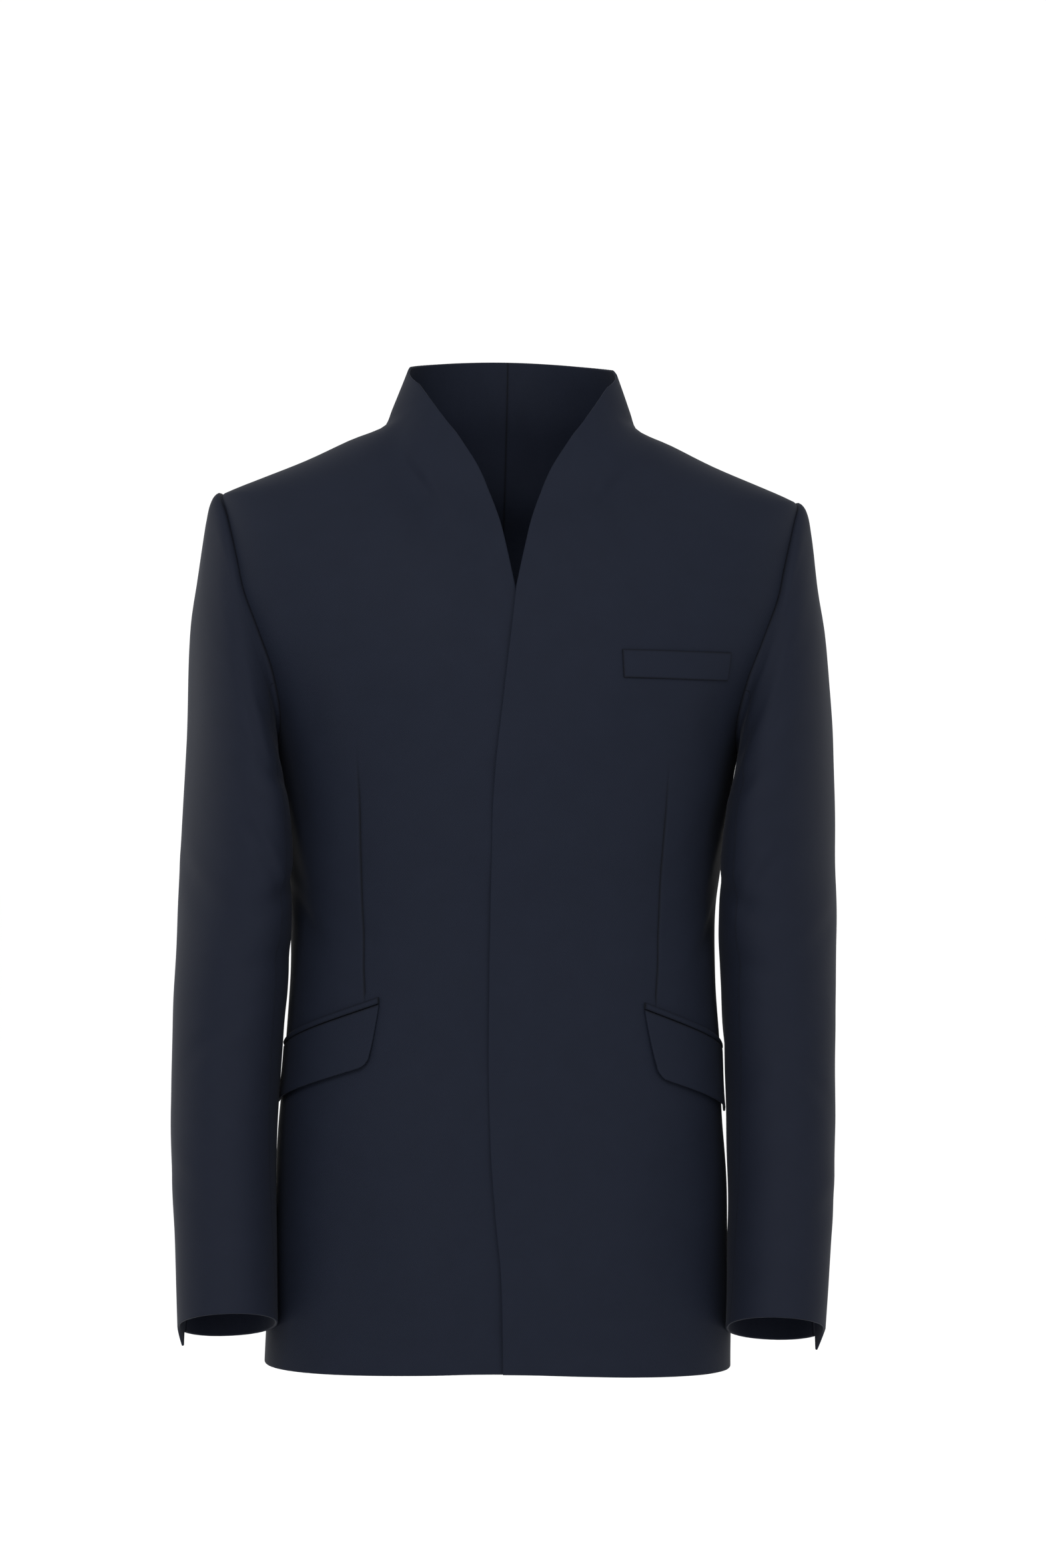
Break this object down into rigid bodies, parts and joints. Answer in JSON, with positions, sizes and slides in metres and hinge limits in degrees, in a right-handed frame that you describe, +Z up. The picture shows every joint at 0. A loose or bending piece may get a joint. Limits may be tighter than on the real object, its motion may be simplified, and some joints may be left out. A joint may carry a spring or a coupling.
{
  "type": "collarless blazer",
  "caption": "Hollow worn blazer of dark wool cloth with a grown-on stand, V neck, lapped front, chest welt, slanted flap pockets and set-in two-piece sleeves",
  "frame": {"origin": "middle of the neck base, at the height where the stand meets the shoulder line", "axes": "+Z is up, the front faces -Y, and +X is the wearer's left"},
  "size_m": [0.5118, 0.2464, 0.7785],
  "materials": {
    "wool": "fine matte wool twill in very dark navy"
  },
  "bodies": {
    "root": {"front_left": "wool", "front_right": "wool", "back_left": "wool", "back_right": "wool", "top_sleeve_left": "wool", "top_sleeve_right": "wool", "under_sleeve_left": "wool", "under_sleeve_right": "wool", "flap_left": "wool", "flap_right": "wool", "jet_left": "wool", "jet_right": "wool", "chest_welt": "wool"}
  },
  "joints": []
}
